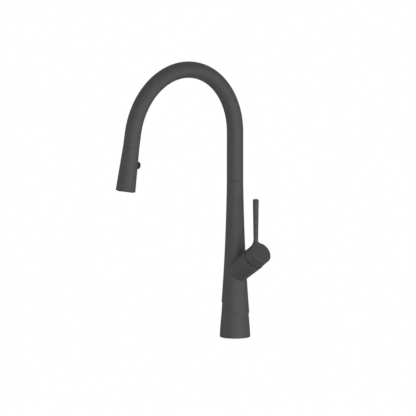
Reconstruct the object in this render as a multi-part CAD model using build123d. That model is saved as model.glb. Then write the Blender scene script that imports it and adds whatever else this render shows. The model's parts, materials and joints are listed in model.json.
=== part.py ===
from build123d import *
import os
from math import cos, sin, radians, sqrt

# Pull-down kitchen faucet with a high gooseneck spout and a side lever.
# Millimetres. Origin: centre of the base's underside, on the deck. +Z up, the spout
# reaches towards -Y and the lever's valve boss points to +X.

# ---- deck and base -------------------------------------------------------------------
BASE_RADIUS = 24.0
BASE_TOP_RADIUS = 20.2
BASE_EDGE_ROUND = 1.2
DECK_THICKNESS = 20.0
SHANK_RADIUS = 16.0
SHANK_BORE = 13.5
SHANK_BOTTOM = -52.0
SHANK_TOP = 22.0
REGISTER_RADIUS = 16.5
REGISTER_LENGTH = 18.0
CORE_LOW_RADIUS = 19.3
CORE_HIGH_RADIUS = 17.4
CORE_STEP = 26.0
CORE_BOTTOM = 2.0
LIP_ROUND = 0.4
SEAM_GAP = 0.3
SEAM_TURN = 5.0
SEAM_LINE = (
    (32.0, 18.0), (21.4, 34.9), (16.5, 40.6), (10.6, 44.6), (0.3, 50.2), (-15.6, 56.1), (-32.0, 59.5),
)
FIT = 0.05
CLEAR = 0.3

# ---- riser ---------------------------------------------------------------------------
NECK_TOP = 248.8
TUBE_RADIUS = 13.0
TUBE_WALL = 1.2
HOSE_RADIUS = 5.8
HOSE_BORE = 3.9
HOSE_PASSAGE = 6.2
HOSE_LOW = -66.0
TAIL_RADIUS = 3.175
TAIL_CIRCLE = 10.0
TAIL_ANGLE = 70.0
TAIL_TOP = 96.0
SUPPLY_LOW = -104.0
OUTLET_LOW = -84.0
UNION_RADIUS = 4.76
CAVITY_TOP = 92.0
UPPER_CAVITY_BOTTOM = 142.0
UPPER_CAVITY_TOP = 220.0
UPPER_CAVITY_RADIUS = 9.6
SWIVEL_BORE = 10.5
SWIVEL_BOTTOM = 221.0

# ---- gooseneck -----------------------------------------------------------------------
BEND_START = 325.9
BEND_RADIUS = 109.2
BEND_SWEEP = 170.0
OUTLET_STRAIGHT = 21.9
TUBE_START = 249.4

# ---- valve boss and handle -----------------------------------------------------------
BOSS_TILT = 31.8
BOSS_CENTRE = (45.1, 0, 129.3)
BOSS_RADIUS = 18.5
BOSS_EDGE_ROUND = 0.4
BOSS_DEPTH = 44.0
CHAMBER_RADIUS = 14.0
CHAMBER_FLOOR = -30.0
NUT_THREAD_RADIUS = 16.0
NUT_SEAT = -8.0
DOME_RADIUS = 16.2
DOME_TOP = 6.5
HUB_LEAN = 2.5
HUB_RADIUS = 17.75
HUB_END = 20.4
HUB_GAP = 0.85
HUB_EDGE_ROUND = 1.1
HUB_RELIEF = 12.5
HUB_CAVITY_TOP = 10.2
STEM_RADIUS = 3.0
STEM_REACH = 15.0
DISC_OFFSET = -1.9
LEVER_X = 48.7
LEVER_TOP = 224.0
LEVER_LOW_RADIUS = 3.62
LEVER_HIGH_RADIUS = 4.75
LEVER_ROOT = 150.0
LEVER_TOP_ROUND = 1.8
FLARE_TOP = 160.0
FLARE_ARC = 16.0
FLARE_SWEEP = 55.0
FLARE_FOOT_RADIUS = 16.0
FLARE_FOOT_SLOPE = 0.9

# ---- spray head ----------------------------------------------------------------------
HEAD_TOP_RADIUS = 13.05
HEAD_FACE_RADIUS = 15.7
HEAD_LENGTH = 70.0
SHELL_TOP = 0.4
SHELL_END = HEAD_LENGTH - 1.0
WATERWAY_END = 57.0
HEAD_WALL = 1.5
NECK_RADIUS = 9.0
NECK_BORE = 7.4
DOCK_BORE = 9.3
WATERWAY_RADIUS = 10.0
FACE_PLATE_RADIUS = 13.6
AERATOR_RADIUS = 6.2
NOZZLE_RADIUS = 0.85
NOZZLE_PROUD = 1.0
NOZZLE_RINGS = ((12, 8.7), (18, 11.7))
BUTTON_PLACE = 27.5
BUTTON_RADIUS = 5.9
BUTTON_PROUD = 7.1
BUTTON_DOME = 16.0
BUTTON_ROUND = 1.0

# ---- frames of the tilted parts ------------------------------------------------------


def tilted_frame(origin, angle):
    """Frame whose z points out to +X, raised by the angle, with its x along +Y."""
    direction = (cos(radians(angle)), 0, sin(radians(angle)))
    return Plane(origin=origin, x_dir=(0, 1, 0), z_dir=direction).location


def outlet_direction():
    """Direction in which the spout's free end points."""
    turned_by = radians(BEND_SWEEP)
    return Vector(0, -sin(turned_by), cos(turned_by))


def bend_end():
    """Centre of the tube where the gooseneck's bend ends."""
    turned_by = radians(BEND_SWEEP)
    reach = BEND_RADIUS * (1 - cos(turned_by))
    return Vector(0, -reach, BEND_START + BEND_RADIUS * sin(turned_by))


DECK = Location((0, 0, 0))
BOSS = tilted_frame(BOSS_CENTRE, BOSS_TILT)
HUB = tilted_frame(BOSS_CENTRE, BOSS_TILT + HUB_LEAN)
HEAD_ORIGIN = bend_end() + outlet_direction() * OUTLET_STRAIGHT
HEAD = Plane(origin=HEAD_ORIGIN, x_dir=(1, 0, 0), z_dir=outlet_direction()).location
FACE = HEAD * Pos(0, 0, HEAD_LENGTH)
BUTTON_ORIGIN = HEAD_ORIGIN + outlet_direction() * BUTTON_PLACE
BUTTON_DIRECTION = outlet_direction().cross(Vector(1, 0, 0)) * -1
BUTTON = Plane(origin=BUTTON_ORIGIN, x_dir=(1, 0, 0), z_dir=BUTTON_DIRECTION).location

# ---- building blocks -----------------------------------------------------------------


def rod(frame, radius, low, high, x=0, y=0):
    """Round bar along the frame's z."""
    bar = Cylinder(radius, high - low, align=(Align.CENTER, Align.CENTER, Align.MIN))
    return frame * Pos(x, y, low) * bar


def ring(frame, outer, inner, low, high):
    """Round ring along the frame's z."""
    return rod(frame, outer, low, high) - rod(frame, inner, low - 1, high + 1)


def turned(frame, outline):
    """Body turned about the frame's z from a closed (radius, height) polygon."""
    points = [(radius, 0, height) for radius, height in outline]
    face = make_face(Polyline(*points, close=True))
    return frame * revolve(face, Axis.Z)


def around(count, radius, start=0.0):
    """Evenly spaced places on a circle."""
    step = 360.0 / count
    angles = [radians(start + step * index) for index in range(count)]
    return [(radius * cos(angle), radius * sin(angle)) for angle in angles]


def single(shape):
    """The one solid of a finished sub-part."""
    return shape.solids().sort_by(lambda solid: solid.volume)[-1]

# ---- base and body -------------------------------------------------------------------


def riser_radius(height):
    """The riser flares slowly at first and faster towards the base."""
    drop = 249.0 - height
    return TUBE_RADIUS + 0.0114 * drop + 0.000163 * drop * drop


def riser_blank(low):
    """Solid flared riser from the given height to the swivel seam."""
    heights = (NECK_TOP, 200.0, 150.0, 100.0, 60.0, low)
    side = Spline(*[(riser_radius(height), 0, height) for height in heights])
    edges = [
        side,
        Line((riser_radius(low), 0, low), (0, 0, low)),
        Line((0, 0, low), (0, 0, NECK_TOP)),
        Line((0, 0, NECK_TOP), (riser_radius(NECK_TOP), 0, NECK_TOP)),
    ]
    return revolve(make_face(edges), Axis.Z)


def below_seam(drop):
    """Everything under the curved slanting seam, which is lowest at the lever's side."""
    half = 32.0
    under = -5.0
    points = [(across, 0, height - drop) for across, height in SEAM_LINE]
    edges = [
        Spline(*points),
        Line(points[-1], (-half, 0, under)),
        Line((-half, 0, under), (half, 0, under)),
        Line((half, 0, under), points[0]),
    ]
    block = extrude(make_face(edges), 2 * half, dir=(0, 1, 0))
    return Rot(0, 0, SEAM_TURN) * Pos(0, -half, 0) * block


def base_ring():
    """Flared sleeve at the deck, cut by the slanting seam."""
    side = Spline(
        (BASE_RADIUS, 0, 0), (23.35, 0, 15.0), (21.7, 0, 34.0), (BASE_TOP_RADIUS, 0, 56.0), (19.9, 0, 62.0)
    )
    edges = [
        side,
        Line((19.9, 0, 62), (0, 0, 62)),
        Line((0, 0, 62), (0, 0, 0)),
        Line((0, 0, 0), (BASE_RADIUS, 0, 0)),
    ]
    blank = revolve(make_face(edges), Axis.Z)
    blank = fillet(blank.edges().sort_by(Axis.Z)[0], BASE_EDGE_ROUND)
    blank = blank & below_seam(SEAM_GAP)
    blank -= rod(DECK, CORE_LOW_RADIUS + FIT, -1, CORE_STEP + FIT)
    blank -= rod(DECK, CORE_HIGH_RADIUS + FIT, 0, 70)
    blank -= ring(DECK, 22.2, 20.4, -1, 1.6)
    return single(blank)


def tail_places():
    """Hot, cold and mixed water tubes stand round the hose."""
    hot = (TAIL_CIRCLE * cos(radians(TAIL_ANGLE)), TAIL_CIRCLE * sin(radians(TAIL_ANGLE)))
    return {"hot": hot, "cold": (hot[0], -hot[1]), "mixed": (TAIL_CIRCLE, 0)}


def chamber_port(x, y):
    """Point on the valve chamber's floor, in the part's frame."""
    place = BOSS * Pos(x, y, CHAMBER_FLOOR)
    return place.position


PORTS = {"hot": (6.5, 0), "cold": (-6.5, 0), "mixed": (0, -7.0)}


def waterways():
    """Drilled channels from the tube sockets to the valve chamber's floor."""
    cuts = []
    for name, (x, y) in tail_places().items():
        start = Vector(x, y, TAIL_TOP - 1)
        run = chamber_port(*PORTS[name]) - start
        channel = Plane(origin=start, z_dir=run).location
        cuts.append(rod(channel, 2.2, 0, run.length + 1))
        cuts.append(rod(DECK, TAIL_RADIUS + FIT, CAVITY_TOP - 1, TAIL_TOP, x, y))
    return cuts


def body_shell():
    """One casting: flared riser, valve boss and the core that the base ring hides."""
    skirt = riser_blank(20.0) - below_seam(0)
    lip = skirt.edges().filter_by(GeomType.BSPLINE).filter_by(lambda edge: edge.bounding_box().max.Z < 100)
    skirt = fillet(lip, LIP_ROUND)
    boss = rod(BOSS, BOSS_RADIUS, -BOSS_DEPTH, 0)
    boss = fillet(boss.edges().sort_by(Axis.X)[-1], BOSS_EDGE_ROUND)
    core = rod(DECK, CORE_LOW_RADIUS, CORE_BOTTOM, CORE_STEP) + rod(DECK, CORE_HIGH_RADIUS, CORE_STEP, 60)
    body = skirt + boss + core
    body -= rod(DECK, SHANK_RADIUS + FIT, CORE_BOTTOM - 1, SHANK_TOP)
    body -= rod(DECK, SHANK_BORE, SHANK_TOP - 1, CAVITY_TOP)
    body -= rod(DECK, HOSE_PASSAGE, CAVITY_TOP - 1, UPPER_CAVITY_BOTTOM + 1)
    body -= rod(DECK, UPPER_CAVITY_RADIUS, UPPER_CAVITY_BOTTOM, UPPER_CAVITY_TOP)
    body -= rod(DECK, SWIVEL_BORE, UPPER_CAVITY_TOP - 1, NECK_TOP + 1)
    body -= rod(DECK, SWIVEL_BORE + 0.8, 223.1, 224.9)
    body -= rod(BOSS, CHAMBER_RADIUS, CHAMBER_FLOOR, 1)
    body -= rod(BOSS, NUT_THREAD_RADIUS, NUT_SEAT, 1)
    for cut in waterways():
        body -= cut
    return single(body)

# ---- fastening to the deck -----------------------------------------------------------


def threaded_shank():
    """Hollow stud with a plain register that centres it in the deck's hole."""
    stud = rod(DECK, SHANK_RADIUS, SHANK_BOTTOM, SHANK_TOP) + rod(DECK, REGISTER_RADIUS, -REGISTER_LENGTH, 0)
    return single(stud - rod(DECK, SHANK_BORE, SHANK_BOTTOM - 1, SHANK_TOP + 1))


def deck_gasket():
    """Foam rubber ring in the groove of the base."""
    return single(ring(DECK, 22.15, 20.45, 0, 1.55))


def clamp_gasket():
    return single(ring(DECK, 25.0, SHANK_RADIUS + 0.2, -DECK_THICKNESS - 2.5, -DECK_THICKNESS))


def clamp_washer():
    return single(ring(DECK, 25.0, SHANK_RADIUS + 0.2, -DECK_THICKNESS - 4.5, -DECK_THICKNESS - 2.5))


NUT_TOP = -DECK_THICKNESS - 6.0
NUT_BOTTOM = NUT_TOP - 12.0
SCREW_CIRCLE = 20.3


def mounting_nut():
    """Round brass nut with six grip flats and two jack screws."""
    blank = extrude(DECK * Pos(0, 0, NUT_BOTTOM) * RegularPolygon(25.5, 6), NUT_TOP - NUT_BOTTOM)
    blank = blank & rod(DECK, 24.6, NUT_BOTTOM, NUT_TOP)
    blank -= rod(DECK, SHANK_RADIUS + FIT, NUT_BOTTOM - 1, NUT_TOP + 1)
    for x, y in around(2, SCREW_CIRCLE):
        blank -= rod(DECK, 2.5 + FIT, NUT_BOTTOM - 1, NUT_TOP + 1, x, y)
    return single(blank)


def jack_screws():
    """Two screws that press the washer up against the deck."""
    screws = []
    for x, y in around(2, SCREW_CIRCLE):
        shaft = rod(DECK, 2.5, NUT_BOTTOM - 4, -DECK_THICKNESS - 4.5, x, y)
        head = rod(DECK, 3.8, NUT_BOTTOM - 7.5, NUT_BOTTOM - 4, x, y)
        socket = extrude(DECK * Pos(x, y, NUT_BOTTOM - 7.5) * RegularPolygon(2.3, 6), 2.5)
        screws.append(shaft + head - socket)
    return Compound(children=[single(screw) for screw in screws])


def tail_tube(name, low):
    """Copper tube from the casting down through the shank."""
    x, y = tail_places()[name]
    tube = rod(DECK, TAIL_RADIUS, low, TAIL_TOP - 1, x, y)
    return single(tube - rod(DECK, TAIL_RADIUS - 0.8, low - 1, TAIL_TOP, x, y))


def tail_fittings():
    """Two union ends with a hexagon, soldered on the hot and cold tubes."""
    fittings = []
    for name in ("hot", "cold"):
        x, y = tail_places()[name]
        thread = rod(DECK, UNION_RADIUS, SUPPLY_LOW - 14, SUPPLY_LOW - 2, x, y)
        nut = extrude(DECK * Pos(x, y, SUPPLY_LOW - 2) * RegularPolygon(6.6, 6), 7)
        body = thread + nut - rod(DECK, TAIL_RADIUS + FIT, SUPPLY_LOW, SUPPLY_LOW + 6, x, y)
        fittings.append(body - rod(DECK, 2.2, SUPPLY_LOW - 20, SUPPLY_LOW + 1, x, y))
    return Compound(children=[single(fitting) for fitting in fittings])


def outlet_socket():
    """Push-in socket for the hose's plug, on the mixed water tube."""
    x, y = tail_places()["mixed"]
    body = rod(DECK, 5.2, OUTLET_LOW - 12, OUTLET_LOW + 4, x, y)
    body -= rod(DECK, TAIL_RADIUS + FIT, OUTLET_LOW, OUTLET_LOW + 5, x, y)
    body -= rod(DECK, 2.4, OUTLET_LOW - 6, OUTLET_LOW + 1, x, y)
    return single(body - rod(DECK, 4.65, OUTLET_LOW - 13, OUTLET_LOW - 2, x, y))

# ---- swivel between body and spout ---------------------------------------------------


def swivel_washer():
    """Thin dark slip ring in the seam between body and spout."""
    return single(ring(DECK, TUBE_RADIUS - 0.4, SWIVEL_BORE + CLEAR, NECK_TOP, TUBE_START - FIT))


def swivel_sleeve():
    """Brass sleeve soldered into the tube, turning in the body's bore."""
    outline = [
        (8.0, 221.4), (10.42, 221.4), (10.42, 223.4), (9.5, 223.4), (9.5, 224.6), (10.42, 224.6),
        (10.42, 228.0), (9.2, 228.0), (9.2, 231.0), (10.42, 231.0), (10.42, 240.0), (9.2, 240.0),
        (9.2, 243.0), (10.42, 243.0), (10.42, TUBE_START), (TUBE_RADIUS - TUBE_WALL, TUBE_START),
        (TUBE_RADIUS - TUBE_WALL, 264.0), (8.0, 264.0),
    ]
    return single(turned(DECK, outline))


def swivel_rings():
    """Two water seals in the sleeve's grooves, each a ring of its own."""
    rings = [ring(DECK, 10.44, 9.2, low + 0.4, low + 2.6) for low in (228.0, 240.0)]
    return Compound(children=[single(part) for part in rings])


def snap_ring():
    """Open spring ring that keeps the spout from lifting out."""
    blank = ring(DECK, 10.95, 9.52, 223.5, 224.5)
    slit = Pos(10, 0, 224) * Box(8, 3, 4)
    return single(blank - slit)

# ---- spout ---------------------------------------------------------------------------


def gooseneck_path(start, end):
    """Centre line of the spout: a riser, one long bend and, past it, a short straight end."""
    rise = Line((0, 0, start), (0, 0, BEND_START))
    half_turn = radians(BEND_SWEEP / 2)
    middle = (0, -BEND_RADIUS * (1 - cos(half_turn)), BEND_START + BEND_RADIUS * sin(half_turn))
    bend = ThreePointArc((0, 0, BEND_START), middle, bend_end())
    if end > 0:
        return Wire([rise, bend, Line(bend_end(), bend_end() + outlet_direction() * end)])
    return Wire([rise, bend])


def swept_tube(outer, inner, start, end):
    """Tube along the centre line, from a height to a distance past the bend."""
    section = Plane(origin=(0, 0, start)) * (Circle(outer) - Circle(inner))
    return sweep(section, path=gooseneck_path(start, end))


def spout_tube():
    return single(swept_tube(TUBE_RADIUS, TUBE_RADIUS - TUBE_WALL, TUBE_START, OUTLET_STRAIGHT))


def pulldown_hose():
    """Braided hose lying in the riser and the gooseneck, down to its plug."""
    return single(swept_tube(HOSE_RADIUS, HOSE_BORE, HOSE_LOW, 0))


def hose_plug():
    """Push-in plug on the hose's lower end."""
    outline = [
        (2.5, -26), (4.6, -26), (4.6, -21), (3.9, -21), (3.9, -19), (4.6, -19), (4.6, -10),
        (6.4, -10), (6.4, 12), (HOSE_RADIUS + FIT, 12), (HOSE_RADIUS + FIT, -0.1), (2.5, -0.1),
    ]
    return single(turned(Pos(0, 0, HOSE_LOW), outline))


def dock_insert():
    """Plastic socket in the spout's end that guides the spray head's neck."""
    outline = [
        (DOCK_BORE, -16.0), (TUBE_RADIUS - TUBE_WALL - FIT, -16.0),
        (TUBE_RADIUS - TUBE_WALL - FIT, -0.1), (DOCK_BORE + 1.0, -0.1), (DOCK_BORE, -1.6),
    ]
    return single(turned(HEAD, outline))


def dock_magnet():
    return single(ring(HEAD, TUBE_RADIUS - TUBE_WALL - FIT, 7.6, -21.5, -16.1))

# ---- hose end ------------------------------------------------------------------------


def hose_drop():
    """Stretch of hose in the crimped ferrule, which is drawn out with the head."""
    return single(ring(HEAD, HOSE_RADIUS, HOSE_BORE, -OUTLET_STRAIGHT, -4.2))


def hose_ferrule():
    outline = [
        (HOSE_RADIUS + FIT, -20.0), (6.8, -20.0), (6.8, -4.1), (4.6, -4.1), (4.6, -4.15),
        (HOSE_RADIUS + FIT, -4.15),
    ]
    return single(turned(HEAD, outline))


def hose_connector():
    """Hollow barb in the hose and the turned spigot on which the head swivels."""
    outline = [
        (2.5, -18.0), (HOSE_BORE - FIT, -18.0), (HOSE_BORE - FIT, -4.0), (4.5, -4.0), (4.5, 2.0),
        (6.2, 2.0), (6.2, 4.0), (4.5, 4.0), (4.5, 9.0), (2.5, 9.0),
    ]
    return single(turned(HEAD, outline))

# ---- spray head ----------------------------------------------------------------------


def head_radius(along):
    """Outer radius of the tapered head at a distance from the seam."""
    return HEAD_TOP_RADIUS + (HEAD_FACE_RADIUS - HEAD_TOP_RADIUS) * along / HEAD_LENGTH


def spray_shell():
    """Tapered outer shell with a round hole for the button."""
    outline = [
        (head_radius(SHELL_TOP) - HEAD_WALL, SHELL_TOP), (head_radius(SHELL_TOP), SHELL_TOP),
        (head_radius(SHELL_END), SHELL_END), (head_radius(SHELL_END) - HEAD_WALL, SHELL_END),
    ]
    shell = turned(HEAD, outline)
    return single(shell - rod(BUTTON, BUTTON_RADIUS + 0.4, 5, 20))


def head_collar():
    """Plastic neck that docks in the spout's socket."""
    neck = ring(HEAD, NECK_RADIUS, NECK_BORE, -14, 6)
    flange = ring(HEAD, 11.1, NECK_BORE, 1, 6)
    return single(neck + flange)


def dock_ring():
    """Steel ring that the dock's magnet pulls on."""
    return single(ring(HEAD, 8.9, NECK_BORE + FIT, -15.8, -14))


def swivel_nut():
    """Keeps the hose connector's flange in the collar."""
    return single(ring(HEAD, NECK_BORE - FIT, 4.58, -2.5, 1.7))


def inlet_seal():
    return single(ring(HEAD, 6.6, 4.58, 4.3, 5.9))


def head_waterway():
    """Inner body of the head with the diverter's bore across it."""
    body = rod(HEAD, WATERWAY_RADIUS, 6, WATERWAY_END)
    body -= rod(HEAD, 4.58, 5, 9.4)
    body -= rod(HEAD, 2.5, 9, WATERWAY_END + 1)
    body -= rod(BUTTON, 2.58, -8.5, 12)
    body -= rod(BUTTON, 7.6, 3, 12)
    for x, y in around(4, 6.6, 45):
        body -= rod(HEAD, 1.4, 40, WATERWAY_END + 1, x, y)
    return single(body)


def nozzle_places():
    return [place for count, radius in NOZZLE_RINGS for place in around(count, radius)]


def nozzle_membrane():
    """Rubber disc whose soft nozzles stand through the face plate."""
    disc = ring(FACE, FACE_PLATE_RADIUS - 0.2, AERATOR_RADIUS + 0.15, -6.5, -4.9)
    for x, y in nozzle_places():
        disc += rod(FACE, NOZZLE_RADIUS, -5.4, NOZZLE_PROUD, x, y)
    for x, y in nozzle_places():
        disc -= rod(FACE, 0.35, -7, NOZZLE_PROUD + 1, x, y)
    return single(disc)


def face_plate():
    plate = ring(FACE, FACE_PLATE_RADIUS, AERATOR_RADIUS + 0.15, -4.85, -0.3)
    for x, y in nozzle_places():
        plate -= rod(FACE, NOZZLE_RADIUS + FIT, -6, 1, x, y)
    return single(plate)


def face_ring():
    """Dark rim at the end of the shell."""
    return single(ring(HEAD, HEAD_FACE_RADIUS - 0.2, FACE_PLATE_RADIUS + FIT, SHELL_END + FIT, HEAD_LENGTH))


def aerator():
    """Cup with a honeycomb insert in the middle of the face."""
    cup = ring(HEAD, AERATOR_RADIUS, 5.2, WATERWAY_END + 0.1, HEAD_LENGTH + 0.3)
    comb = rod(FACE, 5.3, -2.4, 0)
    pitch = 1.55
    for row in range(-3, 4):
        for column in range(-3, 4):
            x = pitch * (column + row / 2)
            y = pitch * row * sqrt(3) / 2
            if x * x + y * y < 4.5 ** 2:
                comb -= rod(FACE, 0.6, -3, 1, x, y)
    return single(cup + comb)


def retainer_ring():
    """Holds membrane, plate and aerator against the waterway."""
    return single(ring(HEAD, 12.9, 9.0, WATERWAY_END + 0.1, HEAD_LENGTH - 6.6))

# ---- mode button ---------------------------------------------------------------------


def mode_button():
    """Domed push button with an inner rim that keeps it in the shell."""
    top = head_radius(BUTTON_PLACE) + BUTTON_PROUD
    cap = rod(DECK, BUTTON_RADIUS, 8.6, top + 1) & Pos(0, 0, top - BUTTON_DOME) * Sphere(BUTTON_DOME)
    rims = cap.edges().sort_by(SortBy.LENGTH)[-2:]
    cap = fillet(rims.sort_by(Axis.Z)[-1], BUTTON_ROUND)
    return single(BUTTON * (cap + rod(DECK, 7.0, 8.6, 9.8)))


def diverter_plunger():
    """Valve rod of the button, with a groove that opens the second water path."""
    outline = [
        (0, -5.5), (2.5, -5.5), (2.5, -1.5), (1.7, -1.5), (1.7, 1.5), (2.5, 1.5), (2.5, 8.6), (0, 8.6),
    ]
    return single(turned(BUTTON, outline))


def button_spring():
    """Small coil under the button."""
    coil = Helix(pitch=1.35, height=4.4, radius=4.4)
    start = Plane(origin=coil @ 0, z_dir=coil % 0)
    wire = sweep(start * Circle(0.35), path=coil)
    return single(BUTTON * Pos(0, 0, 3.6) * wire)

# ---- valve cartridge -----------------------------------------------------------------


def cartridge_base():
    base = rod(BOSS, 12.5, CHAMBER_FLOOR + 0.5, -25.5)
    for x, y in PORTS.values():
        base -= rod(BOSS, 2.2, CHAMBER_FLOOR, -25, x, y)
        base -= rod(BOSS, 3.3, CHAMBER_FLOOR, CHAMBER_FLOOR + 1.6, x, y)
    return single(base)


def port_seals():
    """Three rubber rings between the cartridge and the chamber's floor."""
    rings = []
    for x, y in PORTS.values():
        seal = rod(BOSS, 3.25, CHAMBER_FLOOR, CHAMBER_FLOOR + 1.55, x, y)
        rings.append(seal - rod(BOSS, 2.25, CHAMBER_FLOOR - 1, CHAMBER_FLOOR + 2, x, y))
    return Compound(children=[single(seal) for seal in rings])


def cartridge_housing():
    """Plastic barrel with a flange for the nut and a neck for the turret."""
    outline = [
        (11.8, -25.45), (12.5, -25.45), (12.5, -11.0), (13.6, -11.0), (13.6, NUT_SEAT), (10.6, NUT_SEAT),
        (10.6, 2.0), (8.28, 2.0), (8.28, -9.6), (11.8, -9.6),
    ]
    return single(turned(BOSS, outline))


def fixed_disc():
    """Lower ceramic disc with the three ports."""
    disc = rod(BOSS, 11.6, -25.4, -21.4)
    for x, y in PORTS.values():
        disc -= rod(BOSS, 2.2, -26, -21, x, y)
    return single(disc)


def moving_disc():
    """Upper ceramic disc with its mixing hollow."""
    disc = rod(BOSS, 8.2, -21.35, -17.4, 0, DISC_OFFSET)
    return single(disc - rod(BOSS, 4.6, -22, -19.3, 0, DISC_OFFSET))


def disc_carrier():
    """Plastic carrier that the stem's ball drives."""
    drop = STEM_REACH * sin(radians(HUB_LEAN))
    carrier = rod(BOSS, 8.2, -17.35, -12.6, 0, DISC_OFFSET)
    return single(carrier - rod(BOSS, 2.4, -18, -12, 0, -drop))


def valve_turret():
    """Turning cage of the cartridge, slotted for the stem."""
    turret = rod(BOSS, 8.2, -11.8, 3.0) + rod(BOSS, 10.8, -11.8, -9.9)
    turret -= BOSS * Pos(0, 0, -4) * Box(6.7, 12.6, 20)
    turret -= BOSS * Rot(0, 90, 0) * Cylinder(1.56, 20)
    return single(turret)


def cartridge_nut():
    """Threaded ring that clamps the cartridge, with four key slots."""
    nut = ring(BOSS, NUT_THREAD_RADIUS - FIT, 10.8, NUT_SEAT, -1.6)
    for x, y in around(4, 13.4):
        nut -= rod(BOSS, 1.3, -4, 0, x, y)
    return single(nut)


def bonnet():
    """Dome over the cartridge, round the lever's pivot, that shows in the hub's gap."""
    top_radius = sqrt(DOME_RADIUS ** 2 - DOME_TOP ** 2)
    middle = radians(11.0)
    edges = [
        ThreePointArc(
            (DOME_RADIUS, 0, 0),
            (DOME_RADIUS * cos(middle), 0, DOME_RADIUS * sin(middle)),
            (top_radius, 0, DOME_TOP),
        ),
        Line((top_radius, 0, DOME_TOP), (12.0, 0, DOME_TOP)),
        Line((12.0, 0, DOME_TOP), (12.0, 0, -1.5)),
        Line((12.0, 0, -1.5), (15.8, 0, -1.5)),
        Line((15.8, 0, -1.5), (15.8, 0, 0)),
        Line((15.8, 0, 0), (DOME_RADIUS, 0, 0)),
    ]
    return single(BOSS * revolve(make_face(edges), Axis.Z))

# ---- handle --------------------------------------------------------------------------


def cartridge_stem():
    """Valve stem with the ball that pushes the disc carrier."""
    outline = [
        (0, -STEM_REACH + 1), (1.5, -STEM_REACH + 1), (1.5, -11.0), (STEM_RADIUS, -9.4),
        (STEM_RADIUS, 17.0), (0, 17.0),
    ]
    stem = turned(HUB, outline) + HUB * Pos(0, 0, -STEM_REACH) * Sphere(2.2)
    return single(stem - HUB * Rot(0, 90, 0) * Cylinder(1.5, 20))


def stem_pin():
    """Pivot pin of the stem, across the turret."""
    return single(HUB * Rot(0, 90, 0) * Cylinder(1.5, 15.6))


def hub_underside():
    """Space under the hub: a narrow even gap above, and a wedge below for the lift."""
    half = 25.0
    rise = half * sin(radians(HUB_LEAN))
    relief = half * sin(radians(HUB_RELIEF)) / cos(radians(HUB_RELIEF))
    outline = [
        (0, half, HUB_GAP + rise), (0, 0, HUB_GAP), (0, -half, HUB_GAP + relief),
        (0, -half, -30), (0, half, -30),
    ]
    wedge = extrude(make_face(Polyline(*outline, close=True)), 2 * half, dir=(1, 0, 0))
    return HUB * Pos(-half, 0, 0) * wedge


def lever_radius(height):
    share = (height - LEVER_ROOT) / (LEVER_TOP - LEVER_ROOT)
    return LEVER_LOW_RADIUS + (LEVER_HIGH_RADIUS - LEVER_LOW_RADIUS) * share


def lever_flare():
    """Trumpet that spreads the lever into the hub: a quarter-like arc and a cone below it."""
    start_radius = lever_radius(FLARE_TOP) + 0.02
    half, full = radians(FLARE_SWEEP / 2), radians(FLARE_SWEEP)

    def on_arc(angle):
        return (start_radius + FLARE_ARC * (1 - cos(angle)), 0, FLARE_TOP - FLARE_ARC * sin(angle))

    end = on_arc(full)
    foot = (FLARE_FOOT_RADIUS, 0, end[2] - (FLARE_FOOT_RADIUS - end[0]) * FLARE_FOOT_SLOPE)
    edges = [
        ThreePointArc((start_radius, 0, FLARE_TOP), on_arc(half), end),
        Line(end, foot),
        Line(foot, (0, 0, foot[2])),
        Line((0, 0, foot[2]), (0, 0, FLARE_TOP)),
        Line((0, 0, FLARE_TOP), (start_radius, 0, FLARE_TOP)),
    ]
    return Pos(LEVER_X, 0, 0) * revolve(make_face(edges), Axis.Z)


def lever_handle():
    """Hub and lever, one casting."""
    hub = rod(HUB, HUB_RADIUS, -10, HUB_END)
    hub = fillet(hub.edges().sort_by(Axis.X)[-1], HUB_EDGE_ROUND)
    lever = Pos(LEVER_X, 0, (LEVER_ROOT + LEVER_TOP) / 2) * Cone(
        LEVER_LOW_RADIUS, LEVER_HIGH_RADIUS, LEVER_TOP - LEVER_ROOT
    )
    lever = fillet(lever.edges().sort_by(Axis.Z)[-1], LEVER_TOP_ROUND)
    flare = lever_flare() & rod(HUB, 30, 2, HUB_END)
    flare = flare & (HUB * Pos(0, 20, 10) * Box(2 * HUB_RADIUS - 1, 60, 60))
    handle = hub + flare + lever
    handle -= hub_underside()
    handle -= (HUB * Sphere(DOME_RADIUS + CLEAR)) & rod(HUB, 30, -30, HUB_CAVITY_TOP)
    handle -= rod(HUB, STEM_RADIUS + FIT, 5, 17.2)
    handle -= HUB * Pos(0, 0, 13.5) * Rot(0, 90, 0) * Pos(0, 0, 12) * Cylinder(2.0, 24)
    return single(handle)


def handle_screw():
    """Set screw that holds the handle on the stem."""
    screw = Cylinder(1.95, 7, align=(Align.CENTER, Align.CENTER, Align.MIN))
    screw -= Pos(0, 0, 5) * extrude(RegularPolygon(1.15, 6), 3)
    return single(HUB * Pos(0, 0, 13.5) * Rot(0, 90, 0) * Pos(0, 0, 3.05) * screw)


def screw_plug():
    """Cap that closes the set screw's hole."""
    plug = Cylinder(1.95, 3, align=(Align.CENTER, Align.CENTER, Align.MIN))
    return single(HUB * Pos(0, 0, 13.5) * Rot(0, 90, 0) * Pos(0, 0, 14.6) * plug)


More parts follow.
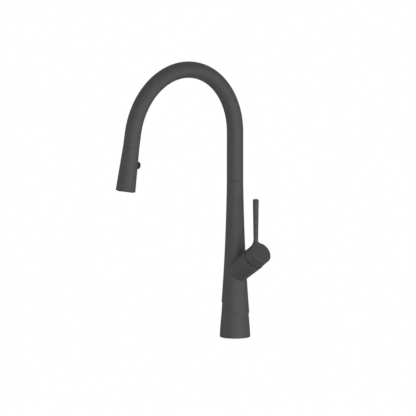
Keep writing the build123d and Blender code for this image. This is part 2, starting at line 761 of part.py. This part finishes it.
NODES = {
    "base_ring": base_ring,
    "body_shell": body_shell,
    "threaded_shank": threaded_shank,
    "deck_gasket": deck_gasket,
    "clamp_gasket": clamp_gasket,
    "clamp_washer": clamp_washer,
    "mounting_nut": mounting_nut,
    "jack_screws": jack_screws,
    "hot_tail_tube": lambda: tail_tube("hot", SUPPLY_LOW),
    "cold_tail_tube": lambda: tail_tube("cold", SUPPLY_LOW),
    "outlet_tube": lambda: tail_tube("mixed", OUTLET_LOW),
    "tail_fittings": tail_fittings,
    "outlet_socket": outlet_socket,
    "swivel_washer": swivel_washer,
    "swivel_sleeve": swivel_sleeve,
    "swivel_rings": swivel_rings,
    "snap_ring": snap_ring,
    "spout_tube": spout_tube,
    "pulldown_hose": pulldown_hose,
    "hose_plug": hose_plug,
    "dock_insert": dock_insert,
    "dock_magnet": dock_magnet,
    "hose_drop": hose_drop,
    "hose_ferrule": hose_ferrule,
    "hose_connector": hose_connector,
    "spray_shell": spray_shell,
    "head_collar": head_collar,
    "dock_ring": dock_ring,
    "swivel_nut": swivel_nut,
    "inlet_seal": inlet_seal,
    "head_waterway": head_waterway,
    "nozzle_membrane": nozzle_membrane,
    "face_plate": face_plate,
    "face_ring": face_ring,
    "aerator": aerator,
    "retainer_ring": retainer_ring,
    "mode_button": mode_button,
    "diverter_plunger": diverter_plunger,
    "button_spring": button_spring,
    "cartridge_base": cartridge_base,
    "port_seals": port_seals,
    "cartridge_housing": cartridge_housing,
    "fixed_disc": fixed_disc,
    "moving_disc": moving_disc,
    "disc_carrier": disc_carrier,
    "valve_turret": valve_turret,
    "cartridge_nut": cartridge_nut,
    "bonnet": bonnet,
    "cartridge_stem": cartridge_stem,
    "stem_pin": stem_pin,
    "lever_handle": lever_handle,
    "handle_screw": handle_screw,
    "screw_plug": screw_plug,
}


def main():
    os.makedirs("parts", exist_ok=True)
    for name, build in NODES.items():
        export_step(build(), f"parts/{name}.step")


if __name__ == "__main__":
    main()
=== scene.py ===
import json
from math import cos, pi, radians, sin

import bmesh
import bpy
from mathutils import Matrix, Vector


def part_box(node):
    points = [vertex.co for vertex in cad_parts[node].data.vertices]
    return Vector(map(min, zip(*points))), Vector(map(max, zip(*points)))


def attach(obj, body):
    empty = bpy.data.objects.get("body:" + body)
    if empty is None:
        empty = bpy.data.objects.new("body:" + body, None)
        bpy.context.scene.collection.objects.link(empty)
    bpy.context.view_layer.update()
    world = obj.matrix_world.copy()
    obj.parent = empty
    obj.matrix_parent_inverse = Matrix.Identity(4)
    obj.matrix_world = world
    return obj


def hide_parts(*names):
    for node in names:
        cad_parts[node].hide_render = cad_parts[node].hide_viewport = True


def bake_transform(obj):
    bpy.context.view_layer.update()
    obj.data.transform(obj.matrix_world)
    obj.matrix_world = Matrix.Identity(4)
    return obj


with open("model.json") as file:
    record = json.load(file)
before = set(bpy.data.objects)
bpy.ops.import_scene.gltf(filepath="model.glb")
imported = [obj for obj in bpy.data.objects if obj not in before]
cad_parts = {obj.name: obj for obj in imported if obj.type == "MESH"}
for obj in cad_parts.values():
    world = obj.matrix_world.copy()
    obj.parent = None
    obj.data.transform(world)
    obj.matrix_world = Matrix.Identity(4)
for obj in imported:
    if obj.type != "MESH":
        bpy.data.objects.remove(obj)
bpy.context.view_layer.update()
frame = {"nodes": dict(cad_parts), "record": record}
nodes = frame["nodes"]
MM = 0.001

# ---- camera ---------------------------------------------------------------------------
AZIMUTH = radians(47.8)
ELEVATION = radians(8.4)
VIEW_WIDTH = 0.6547
AIM_RIGHT = -0.0425
AIM_UP = 0.2025
CAMERA_DISTANCE = 2.5
CAMERA_REACH = 20.0

BACK = Vector((sin(AZIMUTH) * cos(ELEVATION), -cos(AZIMUTH) * cos(ELEVATION), sin(ELEVATION)))
RIGHT = Vector((cos(AZIMUTH), sin(AZIMUTH), 0.0))
UP = BACK.cross(RIGHT)


def make_camera():
    data = bpy.data.cameras.new("camera")
    data.type = "ORTHO"
    data.ortho_scale = VIEW_WIDTH
    data.clip_end = CAMERA_REACH
    camera = bpy.data.objects.new("camera", data)
    camera.location = RIGHT * AIM_RIGHT + UP * AIM_UP + BACK * CAMERA_DISTANCE
    camera.rotation_mode = "QUATERNION"
    camera.rotation_quaternion = (-BACK).to_track_quat("-Z", "Y")
    bpy.context.collection.objects.link(camera)
    bpy.context.scene.camera = camera


# ---- studio ---------------------------------------------------------------------------
# Each softbox: name, turn to the right of the camera and rise in degrees, strength, spread.
SOFTBOXES = (
    ("front", 8.0, 0.0, 0.92, 80.0),
    ("right", 58.0, -8.0, 0.79, 80.0),
    ("left", -88.0, 0.0, 0.3, 60.0),
    ("rear", 188.0, 12.0, 0.2, 80.0),
    ("top", 0.0, 80.0, 0.08, 60.0),
)
EVEN_LIGHT = 0.25
FLOOR_GLOW = 0.985
FLOOR_GREY = 0.03
FLOOR_HALF = 6.0
FLOOR_LEVEL = -0.05 * MM


def softbox(name, turn, rise, strength, spread):
    """Wide far light, the same on every part of the object."""
    data = bpy.data.lights.new(name, "SUN")
    data.energy = strength
    data.angle = radians(spread)
    light = bpy.data.objects.new(name, data)
    heading, lift = AZIMUTH + radians(turn), radians(rise)
    towards = Vector((sin(heading) * cos(lift), -cos(heading) * cos(lift), sin(lift)))
    light.rotation_euler = towards.to_track_quat("Z", "Y").to_euler()
    bpy.context.collection.objects.link(light)


def make_world():
    """White to the camera, and a dimmer even light on the object."""
    world = bpy.data.worlds.new("studio")
    bpy.context.scene.world = world
    world.use_nodes = True
    tree = world.node_tree
    lit = tree.nodes["Background"]
    lit.inputs["Color"].default_value = (1.0, 1.0, 1.0, 1.0)
    lit.inputs["Strength"].default_value = EVEN_LIGHT
    seen = tree.nodes.new("ShaderNodeBackground")
    seen.inputs["Color"].default_value = (1.0, 1.0, 1.0, 1.0)
    path = tree.nodes.new("ShaderNodeLightPath")
    mix = tree.nodes.new("ShaderNodeMixShader")
    tree.links.new(path.outputs["Is Camera Ray"], mix.inputs["Fac"])
    tree.links.new(lit.outputs["Background"], mix.inputs[1])
    tree.links.new(seen.outputs["Background"], mix.inputs[2])
    tree.links.new(mix.outputs["Shader"], tree.nodes["World Output"].inputs["Surface"])


def make_floor():
    """Pale floor at deck height, almost shadowless."""
    half, level = FLOOR_HALF, FLOOR_LEVEL
    mesh = bpy.data.meshes.new("floor")
    corners = [(-half, -half, level), (half, -half, level), (half, half, level), (-half, half, level)]
    mesh.from_pydata(corners, [], [(0, 1, 2, 3)])
    floor = bpy.data.objects.new("floor", mesh)
    bpy.context.collection.objects.link(floor)
    material = bpy.data.materials.new("floor_paper")
    material.use_nodes = True
    shader = material.node_tree.nodes["Principled BSDF"]
    shader.inputs["Base Color"].default_value = (FLOOR_GREY, FLOOR_GREY, FLOOR_GREY, 1.0)
    shader.inputs["Roughness"].default_value = 1.0
    shader.inputs["Specular IOR Level"].default_value = 0.0
    shader.inputs["Emission Color"].default_value = (1.0, 1.0, 1.0, 1.0)
    shader.inputs["Emission Strength"].default_value = FLOOR_GLOW
    mesh.materials.append(material)
    floor.visible_diffuse = False
    floor.visible_glossy = False
    floor.visible_shadow = False


def make_studio():
    bpy.context.scene.view_settings.view_transform = "Standard"
    make_world()
    for box in SOFTBOXES:
        softbox(*box)
    make_floor()


# ---- materials ------------------------------------------------------------------------


class Surface:
    """One procedural material: colour, roughness and relief from noise in object space."""

    def __init__(self, name, roughness, metallic=0.0, specular=0.5):
        self.material = bpy.data.materials.new(name)
        self.material.use_nodes = True
        self.tree = self.material.node_tree
        self.shader = self.tree.nodes["Principled BSDF"]
        self.shader.inputs["Roughness"].default_value = roughness
        self.shader.inputs["Metallic"].default_value = metallic
        self.shader.inputs["Specular IOR Level"].default_value = specular
        self.place = self.tree.nodes.new("ShaderNodeTexCoord").outputs["Object"]

    def mapped(self, stretch):
        mapping = self.tree.nodes.new("ShaderNodeMapping")
        mapping.inputs["Scale"].default_value = stretch
        self.tree.links.new(self.place, mapping.inputs["Vector"])
        return mapping.outputs["Vector"]

    def noise(self, grain_mm, detail=2.0, stretch=(1.0, 1.0, 1.0)):
        """Noise whose grains are about grain_mm across."""
        texture = self.tree.nodes.new("ShaderNodeTexNoise")
        texture.inputs["Scale"].default_value = 1.0 / (grain_mm * MM)
        texture.inputs["Detail"].default_value = detail
        self.tree.links.new(self.mapped(stretch), texture.inputs["Vector"])
        return texture.outputs["Fac"]

    def tint(self, factor, dark, light, low=0.3, high=0.7):
        ramp = self.tree.nodes.new("ShaderNodeValToRGB")
        ramp.color_ramp.elements[0].position = low
        ramp.color_ramp.elements[1].position = high
        ramp.color_ramp.elements[0].color = (*dark, 1.0)
        ramp.color_ramp.elements[1].color = (*light, 1.0)
        self.tree.links.new(factor, ramp.inputs["Fac"])
        self.tree.links.new(ramp.outputs["Color"], self.shader.inputs["Base Color"])

    def gloss(self, factor, low, high):
        span = self.tree.nodes.new("ShaderNodeMapRange")
        span.inputs["From Min"].default_value = 0.25
        span.inputs["From Max"].default_value = 0.75
        span.inputs["To Min"].default_value = low
        span.inputs["To Max"].default_value = high
        self.tree.links.new(factor, span.inputs["Value"])
        self.tree.links.new(span.outputs["Result"], self.shader.inputs["Roughness"])

    def relief(self, factor, depth_mm, strength=1.0):
        """Bump of the given depth, on top of the relief that is there already."""
        bump = self.tree.nodes.new("ShaderNodeBump")
        bump.inputs["Distance"].default_value = depth_mm * MM
        bump.inputs["Strength"].default_value = strength
        self.tree.links.new(factor, bump.inputs["Height"])
        normal = self.shader.inputs["Normal"]
        if normal.is_linked:
            self.tree.links.new(normal.links[0].from_socket, bump.inputs["Normal"])
        self.tree.links.new(bump.outputs["Normal"], normal)


def powder_coat():
    """Fine matte graphite powder coat with a faint orange peel."""
    surface = Surface("graphite_powder_coat", 0.5)
    surface.tint(surface.noise(7.0, 3.0), (0.075, 0.079, 0.077), (0.085, 0.0895, 0.087))
    surface.gloss(surface.noise(2.0), 0.46, 0.56)
    surface.relief(surface.noise(1.1, 1.0), 0.012)
    surface.relief(surface.noise(0.28, 2.0), 0.012)
    return surface.material


def plastic(name, dark, light, roughness, grain_mm=0.35):
    surface = Surface(name, roughness)
    surface.tint(surface.noise(4.0), dark, light)
    surface.gloss(surface.noise(1.3), roughness - 0.05, roughness + 0.06)
    surface.relief(surface.noise(grain_mm), 0.008)
    return surface.material


def rubber(name, dark, light):
    surface = Surface(name, 0.75, specular=0.35)
    surface.tint(surface.noise(1.6, 4.0), dark, light)
    surface.gloss(surface.noise(0.8), 0.68, 0.84)
    surface.relief(surface.noise(0.5, 3.0), 0.03)
    return surface.material


def metal(name, dark, light, roughness, lines_mm=0.25, along=0.08, depth_mm=0.006):
    """Turned or drawn metal: fine marks stretched round the part or along it."""
    surface = Surface(name, roughness, metallic=1.0)
    surface.tint(surface.noise(5.0, 4.0), dark, light)
    marks = surface.noise(lines_mm, 2.0, stretch=(along, along, 1.0))
    surface.gloss(marks, roughness - 0.08, roughness + 0.1)
    surface.relief(marks, depth_mm)
    return surface.material


def make_materials():
    return {
        "painted_grey": powder_coat(),
        "brass": metal("turned_brass", (0.56, 0.4, 0.17), (0.68, 0.5, 0.24), 0.3),
        "copper": metal("drawn_copper", (0.62, 0.28, 0.16), (0.8, 0.42, 0.27), 0.32, 0.3, 1.0),
        "steel": metal("plated_steel", (0.48, 0.49, 0.5), (0.62, 0.63, 0.64), 0.34),
        "magnet": metal("nickel_plate", (0.4, 0.39, 0.37), (0.52, 0.5, 0.47), 0.2),
        "black_plastic": plastic("black_acetal", (0.013, 0.013, 0.014), (0.022, 0.022, 0.023), 0.42),
        "button_black": plastic("satin_black_cap", (0.004, 0.004, 0.0045), (0.008, 0.008, 0.009), 0.42),
        "white_plastic": plastic("natural_acetal", (0.64, 0.64, 0.61), (0.75, 0.75, 0.72), 0.4),
        "rubber": rubber("epdm_rubber", (0.014, 0.014, 0.014), (0.026, 0.026, 0.026)),
        "nozzle_rubber": rubber("grey_silicone", (0.028, 0.029, 0.03), (0.042, 0.043, 0.044)),
        "ceramic": plastic("lapped_ceramic", (0.78, 0.76, 0.71), (0.86, 0.84, 0.8), 0.18, 0.6),
        "braid": rubber("nylon_braid", (0.03, 0.031, 0.033), (0.075, 0.077, 0.08)),
    }


def paint_frame(materials):
    """Every CAD node gets the material of its slot."""
    for row in frame["record"]["subparts"]:
        piece = nodes[row["node"]]
        piece.data.materials.clear()
        piece.data.materials.append(materials[row["material_slot"]])


# ---- the frame's own places -----------------------------------------------------------
JOINTS = {row["name"]: row for row in frame["record"]["behaviour"]["joints"]}


def lying_along(origin, direction):
    """Matrix that puts local z along a direction and the origin at a point."""
    turn = Vector(direction).to_track_quat("Z", "Y").to_matrix().to_4x4()
    return Matrix.Translation(origin) @ turn


DECK = Matrix.Identity(4)
OUTLET = Vector(JOINTS["head_pull"]["axis"])
HEAD_ORIGIN = Vector(JOINTS["head_swivel"]["pos_m"])
HEAD = lying_along(HEAD_ORIGIN, OUTLET)
PULL = JOINTS["head_pull"]["range_m"][1]
PRESS = Vector(JOINTS["button_press"]["axis"])
HOSE_RADIUS = 5.8 * MM
HOSE_BORE = 3.9 * MM
BEND_START = 325.9 * MM
BEND_RADIUS = 109.2 * MM
BEND_SWEEP = radians(170.0)
OUTLET_STRAIGHT = 21.9 * MM

# ---- mesh building --------------------------------------------------------------------


SHARP_ANGLE = radians(35.0)
SAME_POINT = 0.0001 * MM


def make_piece(name, rings_of_shells, slot_name, materials, body=None, replaced=(), looped=True):
    """One piece made of closed shells, each a row of rings of points, looped back to the first or not."""
    mesh = bpy.data.meshes.new(name)
    points, faces = [], []
    for rings in rings_of_shells:
        base, size = len(points), len(rings[0])
        for ring in rings:
            points.extend(ring)
        for row in range(len(rings) if looped else len(rings) - 1):
            here, there = base + row * size, base + (row + 1) % len(rings) * size
            for step in range(size):
                ahead = (step + 1) % size
                faces.append((here + step, here + ahead, there + ahead, there + step))
    mesh.from_pydata(points, [], faces)
    shell = bmesh.new()
    shell.from_mesh(mesh)
    bmesh.ops.remove_doubles(shell, verts=shell.verts, dist=SAME_POINT)
    bmesh.ops.recalc_face_normals(shell, faces=shell.faces)
    shell.to_mesh(mesh)
    shell.free()
    mesh.shade_smooth()
    mesh.set_sharp_from_angle(angle=SHARP_ANGLE)
    mesh.materials.append(materials[slot_name])
    piece = bpy.data.objects.new(name, mesh)
    bpy.context.collection.objects.link(piece)
    if replaced:
        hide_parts(*replaced)
    if body:
        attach(piece, body)
    return piece


def circle(place, height, radius_at, segments):
    """One ring of points; the radius may change with the angle."""
    ring = []
    for step in range(segments):
        angle = 2.0 * pi * step / segments
        radius = radius_at(angle, height)
        ring.append(place @ Vector((radius * cos(angle), radius * sin(angle), height)))
    return ring


def sleeve(place, heights, radius_at, bore, segments=64):
    """Closed hollow shell: the outside follows radius_at, the bore is plain."""
    outside = [circle(place, height, radius_at, segments) for height in heights]
    ends = (heights[-1], heights[0])
    inside = [circle(place, height, lambda angle, at: bore, segments) for height in ends]
    return outside + inside


def lathed(place, outline_mm, segments=32):
    """Closed shell turned from a closed outline of radius and height in millimetres."""
    return [
        circle(place, height * MM, lambda angle, at, radius=radius: radius * MM, segments)
        for radius, height in outline_mm
    ]


def spaced(low, high, step):
    count = max(1, round((high - low) / step))
    return [low + (high - low) * index / count for index in range(count + 1)]


def screw_thread(radius, pitch, depth, low, high):
    """Radius of a screw thread that runs out at both of its ends."""

    def radius_at(angle, height):
        turn = (height / pitch - angle / (2.0 * pi)) % 1.0
        ridge = min(1.0, 1.35 * abs(2.0 * turn - 1.0))
        run_out = min(1.0, (height - low) / pitch, (high - height) / pitch)
        return radius - depth + depth * ridge * max(0.0, run_out)

    return radius_at


# ---- fastening pieces -----------------------------------------------------------------
SHANK_RADIUS = 16.0 * MM
SHANK_BORE = 13.5 * MM
SHANK_PITCH = 1.5 * MM
REGISTER_RADIUS = 16.5 * MM
REGISTER_LENGTH = 18.0 * MM
UNION_RADIUS = 4.76 * MM
UNION_PITCH = 1.06 * MM
UNION_BORE = 2.2 * MM
UNION_LENGTH = 12.0 * MM
HEX_BORE = 3.2 * MM
HEX_CHAMFER = 1.0 * MM
CHAMFER_BAND = 0.8 * MM
CHAMFER_STEP = 0.2 * MM
SHANK_THREAD_DEPTH = 0.75 * MM
UNION_THREAD_DEPTH = 0.5 * MM
RINGS_A_PITCH = 6.0
HEX_REACH = 6.6 * MM


def threaded_shank(materials):
    """Hollow brass stud: plain register in the deck's hole and a fine thread under it."""
    low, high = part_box("threaded_shank")[0][2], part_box("threaded_shank")[1][2]
    thread_low, thread_high = low + 0.8 * MM, -REGISTER_LENGTH - 0.5 * MM
    thread = screw_thread(SHANK_RADIUS, SHANK_PITCH, SHANK_THREAD_DEPTH, thread_low, thread_high)

    def radius_at(angle, height):
        if height > 0.0:
            return SHANK_RADIUS
        if height >= -REGISTER_LENGTH:
            return REGISTER_RADIUS
        if thread_low < height < thread_high:
            return thread(angle, height)
        return SHANK_RADIUS - SHANK_THREAD_DEPTH

    heights = [low] + spaced(thread_low, thread_high, SHANK_PITCH / RINGS_A_PITCH)
    heights += [-REGISTER_LENGTH - 0.01 * MM, -REGISTER_LENGTH, 0.0, 0.01 * MM, high]
    shell = sleeve(DECK, heights, radius_at, SHANK_BORE, 72)
    make_piece("shank_stud", [shell], "brass", materials, "base", ["threaded_shank"])


def hexagon(reach, low, high, chamfer):
    """Radius of a hexagon bar whose corners are turned off at both ends."""

    def radius_at(angle, height):
        flat = reach * cos(pi / 6.0) / cos((angle % (pi / 3.0)) - pi / 6.0)
        edge = min(height - low, high - height)
        return min(flat, reach - chamfer + 2.0 * edge)

    return radius_at


def union_fittings(materials):
    """Two soldered union ends, each a thread and a hexagon."""
    box_low, box_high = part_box("tail_fittings")
    middle = (box_low[0] + box_high[0]) / 2.0
    reach_y = box_high[1] - HEX_REACH * cos(pi / 6.0)
    shells = []
    for side in (1.0, -1.0):
        place = Matrix.Translation((middle, side * reach_y, 0.0))
        low, high, top = box_low[2], box_low[2] + UNION_LENGTH, box_high[2]
        thread = screw_thread(UNION_RADIUS, UNION_PITCH, UNION_THREAD_DEPTH, low, high)
        heights = spaced(low, high, UNION_PITCH / RINGS_A_PITCH)
        shells.append(sleeve(place, heights, thread, UNION_BORE, 36))
        nut = hexagon(HEX_REACH, high, top, HEX_CHAMFER)
        heights = spaced(high, high + CHAMFER_BAND, CHAMFER_STEP)
        heights += spaced(top - CHAMFER_BAND, top, CHAMFER_STEP)
        shells.append(sleeve(place, heights, nut, HEX_BORE, 60))
    make_piece("union_ends", shells, "brass", materials, "base", ["tail_fittings"])


# ---- hose -----------------------------------------------------------------------------
BRAID_STRANDS = 8
BRAID_LAY = 9.0 * MM
BRAID_RELIEF = 0.22 * MM
HOSE_SEGMENTS = 48
RING_STEP = 1.5 * MM
DRAWN_END = -4.2 * MM
DRAWN_HELD_LOW = 0.4 * MM
DRAWN_HELD_HIGH = 2.0 * MM
DRAWN_SEARCH_STEP = 0.01 * MM
DRAWN_BORE_STEP = 0.2 * MM


def hose_ring(place, height, along):
    return circle(place, height, lambda angle, at: braid_radius(angle, along), HOSE_SEGMENTS)


def bore_ring(place, height):
    return circle(place, height, lambda angle, at: HOSE_BORE, HOSE_SEGMENTS)


def braid_radius(angle, along):
    """Hose radius where two families of crossing strands stand up and dip."""
    left = BRAID_STRANDS * angle + 2.0 * pi * along / BRAID_LAY
    right = BRAID_STRANDS * angle - 2.0 * pi * along / BRAID_LAY
    return HOSE_RADIUS - BRAID_RELIEF * (0.5 - 0.5 * cos(left) * cos(right))


def hose_station(along):
    """Place on the spout's centre line, from the height at which the bend starts."""
    if along <= 0.0:
        return Matrix.Translation((0.0, 0.0, BEND_START + along))
    turned_by = along / BEND_RADIUS
    centre = Vector((0.0, -BEND_RADIUS, BEND_START))
    turn = Matrix.Rotation(turned_by, 4, "X")
    return Matrix.Translation(centre) @ turn @ Matrix.Translation((0.0, BEND_RADIUS, 0.0))


def braided_hose(materials):
    """Hose from its plug under the deck up through the riser and round the gooseneck."""
    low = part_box("pulldown_hose")[0][2] - BEND_START
    stations = spaced(low, BEND_RADIUS * BEND_SWEEP, RING_STEP)
    outside = [hose_ring(hose_station(along), 0.0, along) for along in stations]
    inside = [bore_ring(hose_station(along), 0.0) for along in reversed(stations[::4] + stations[-1:])]
    make_piece("braided_hose", [outside + inside], "braid", materials, "spout", ["pulldown_hose"])


def drawn_share(along, start, end):
    """How much of the head's travel a point of the drawn hose follows."""
    share = min(1.0, max(0.0, (along - start) / (end - start)))
    return share * share * (3.0 - 2.0 * share)


def drawn_hose(materials):
    """The stretch that comes out with the head; its braid is laid out for the drawn length."""
    low, high = -OUTLET_STRAIGHT, DRAWN_END
    start, end = low + DRAWN_HELD_LOW, high - DRAWN_HELD_HIGH
    outside, drawn_so_far = [], None
    for along in spaced(low, high, DRAWN_SEARCH_STEP):
        drawn = along + PULL * drawn_share(along, start, end)
        if drawn_so_far is None or drawn - drawn_so_far >= RING_STEP or along == high:
            outside.append(hose_ring(HEAD, along, drawn))
            drawn_so_far = drawn
    inside = [bore_ring(HEAD, along) for along in spaced(low, high, DRAWN_BORE_STEP)]
    piece = make_piece("drawn_hose", [outside + inside[::-1]], "braid", materials, None, ["hose_drop"])
    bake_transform(piece)


# ---- head pieces ----------------------------------------------------------------------
SPRING_RADIUS = 4.4 * MM
SPRING_WIRE = 0.3 * MM
SPRING_TURNS = 3.3
SPRING_HEIGHT = 4.4 * MM
SPRING_STEPS_A_TURN = 24
SPRING_SIDES = 8
NOZZLE_RINGS = ((12, 8.7 * MM), (18, 11.7 * MM))
MEMBRANE_OUTER = 13.4
MEMBRANE_INNER = 6.35
MEMBRANE_UNDER = -6.5
MEMBRANE_TOP = -4.9


def button_coil(materials):
    """Helical spring between the head and its button, pressed together with it."""
    origin = Vector(sum((Vector(corner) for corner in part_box("button_spring")), Vector())) / 2.0
    button = lying_along(origin, -PRESS)
    height = SPRING_HEIGHT
    steps = round(SPRING_TURNS * SPRING_STEPS_A_TURN)
    rings = []
    for step in range(steps + 1):
        share = step / steps
        angle = 2.0 * pi * SPRING_TURNS * share
        centre = Vector((SPRING_RADIUS * cos(angle), SPRING_RADIUS * sin(angle), (share - 0.5) * height))
        ahead = Vector((-sin(angle), cos(angle), height / (2.0 * pi * SPRING_TURNS * SPRING_RADIUS)))
        wire = button @ lying_along(centre, ahead)
        rings.append(circle(wire, 0.0, lambda at, level: SPRING_WIRE, SPRING_SIDES))
    first, last = [[sum(ring, Vector()) / len(ring)] * SPRING_SIDES for ring in (rings[0], rings[-1])]
    coil = [first, *rings, last]
    piece = make_piece("button_coil", [coil], "steel", materials, None, ["button_spring"], looped=False)
    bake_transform(piece)


def nozzle_outline():
    """Soft nozzle with a rounded rim, from the membrane to just past the face."""
    return (
        (0.35, -6.3), (0.85, -6.3), (0.85, 0.35), (0.82, 0.6), (0.74, 0.8),
        (0.62, 0.94), (0.5, 1.0), (0.4, 0.97), (0.35, 0.88),
    )


def soft_nozzles(materials):
    """Silicone membrane with two rings of nozzles."""
    face_along = max((HEAD.inverted() @ vertex.co).z for vertex in nodes["face_ring"].data.vertices)
    face = HEAD @ Matrix.Translation((0.0, 0.0, face_along))
    disc = (
        (MEMBRANE_INNER, MEMBRANE_UNDER), (MEMBRANE_OUTER, MEMBRANE_UNDER),
        (MEMBRANE_OUTER, MEMBRANE_TOP), (MEMBRANE_INNER, MEMBRANE_TOP),
    )
    shells = [lathed(face, disc, 64)]
    for count, circle_radius in NOZZLE_RINGS:
        for index in range(count):
            angle = 2.0 * pi * index / count
            spot = Matrix.Translation((circle_radius * cos(angle), circle_radius * sin(angle), 0.0))
            shells.append(lathed(face @ spot, nozzle_outline(), 14))
    make_piece("soft_nozzles", shells, "nozzle_rubber", materials, "spray_head", ["nozzle_membrane"])


# ---- lever casting --------------------------------------------------------------------
LEVER_X = 48.7 * MM
ROOT_HEIGHT = 154.5 * MM
ROOT_REACH = 11.0 * MM
ROOT_GRAIN = 0.45 * MM
ROOT_PASSES = 40
ROOT_RISE = 5.5 * MM
ROOT_SPREAD = 5.0 * MM
LEVER_RADIUS = 3.6 * MM
HUB_TILT = radians(34.3)
HUB_END = 20.4 * MM
ROOT_SEGMENTS = 48
ROOT_RINGS = 12
ROOT_FADE = 0.5
SMOOTHING = 0.5
WELD_DISTANCE = 0.002 * MM
CAST_SHARP_ANGLE = radians(50.0)


def root_fillet():
    """Extra metal round the lever's foot, widest at the hub's end and level with its face."""
    out = Vector((cos(HUB_TILT), 0.0, sin(HUB_TILT)))
    end = Vector(JOINTS["handle_lift"]["pos_m"]) + out * HUB_END
    axis = Matrix.Translation((LEVER_X, 0.0, 0.0))
    rings = [circle(axis, ROOT_HEIGHT + ROOT_RISE, lambda angle, at: 0.0, ROOT_SEGMENTS)]
    for step in range(ROOT_RINGS + 1):
        sweep = pi / 2.0 * step / ROOT_RINGS
        spread = ROOT_SPREAD * (1.0 - cos(sweep))
        height = ROOT_HEIGHT + ROOT_RISE * (1.0 - sin(sweep))

        def radius_at(angle, at):
            return LEVER_RADIUS + spread * (0.5 + 0.5 * cos(angle))

        ring = circle(axis, height, radius_at, ROOT_SEGMENTS)
        rings.append([point - out * max(0.0, (point - end).dot(out)) for point in ring])
    rings.append(circle(axis, ROOT_HEIGHT - ROOT_RISE, lambda angle, at: 0.0, ROOT_SEGMENTS))
    return rings


def with_root_metal(mesh):
    """Adds the closed shell of root metal to the casting's mesh."""
    shell = bmesh.new()
    shell.from_mesh(mesh)
    rings = [[shell.verts.new(point) for point in ring] for ring in root_fillet()]
    for here, there in zip(rings, rings[1:]):
        for step in range(len(here)):
            shell.faces.new((here[step], here[step - 1], there[step - 1], there[step]))
    bmesh.ops.remove_doubles(shell, verts=shell.verts, dist=WELD_DISTANCE)
    bmesh.ops.recalc_face_normals(shell, faces=shell.faces)
    shell.to_mesh(mesh)
    shell.free()


def evened(piece):
    """The piece's mesh in small even faces, its overlapping shells made one."""
    remesh = piece.modifiers.new("even_grain", "REMESH")
    remesh.mode = "VOXEL"
    remesh.voxel_size = ROOT_GRAIN
    graph = bpy.context.evaluated_depsgraph_get()
    even = bpy.data.meshes.new_from_object(piece.evaluated_get(graph))
    piece.modifiers.clear()
    return even


def soften_root(mesh):
    """Smooths the corners round the lever's foot, less and less away from it."""
    root = Vector((LEVER_X, 0.0, ROOT_HEIGHT))
    shell = bmesh.new()
    shell.from_mesh(mesh)
    near = [vertex for vertex in shell.verts if (vertex.co - root).length < ROOT_REACH]
    weights = [(1.0 - (vertex.co - root).length / ROOT_REACH) ** ROOT_FADE for vertex in near]
    for _ in range(ROOT_PASSES):
        moved = []
        for vertex, weight in zip(near, weights):
            around = [edge.other_vert(vertex).co for edge in vertex.link_edges]
            middle = sum(around, Vector()) / len(around)
            moved.append(vertex.co.lerp(middle, SMOOTHING * weight))
        for vertex, place in zip(near, moved):
            vertex.co = place
    shell.to_mesh(mesh)
    shell.free()


def blended_lever(materials):
    """The hub and lever as one casting whose root flows into the hub's end, with no hard corner."""
    piece = bpy.data.objects.new("lever_casting", nodes["lever_handle"].data.copy())
    bpy.context.collection.objects.link(piece)
    with_root_metal(piece.data)
    piece.data = evened(piece)
    mesh = piece.data
    soften_root(mesh)
    mesh.shade_smooth()
    mesh.set_sharp_from_angle(angle=CAST_SHARP_ANGLE)
    mesh.materials.clear()
    mesh.materials.append(materials["painted_grey"])
    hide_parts("lever_handle")
    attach(piece, "handle")


def main():
    make_camera()
    make_studio()
    materials = make_materials()
    paint_frame(materials)
    threaded_shank(materials)
    union_fittings(materials)
    braided_hose(materials)
    drawn_hose(materials)
    button_coil(materials)
    soft_nozzles(materials)
    blended_lever(materials)


main()
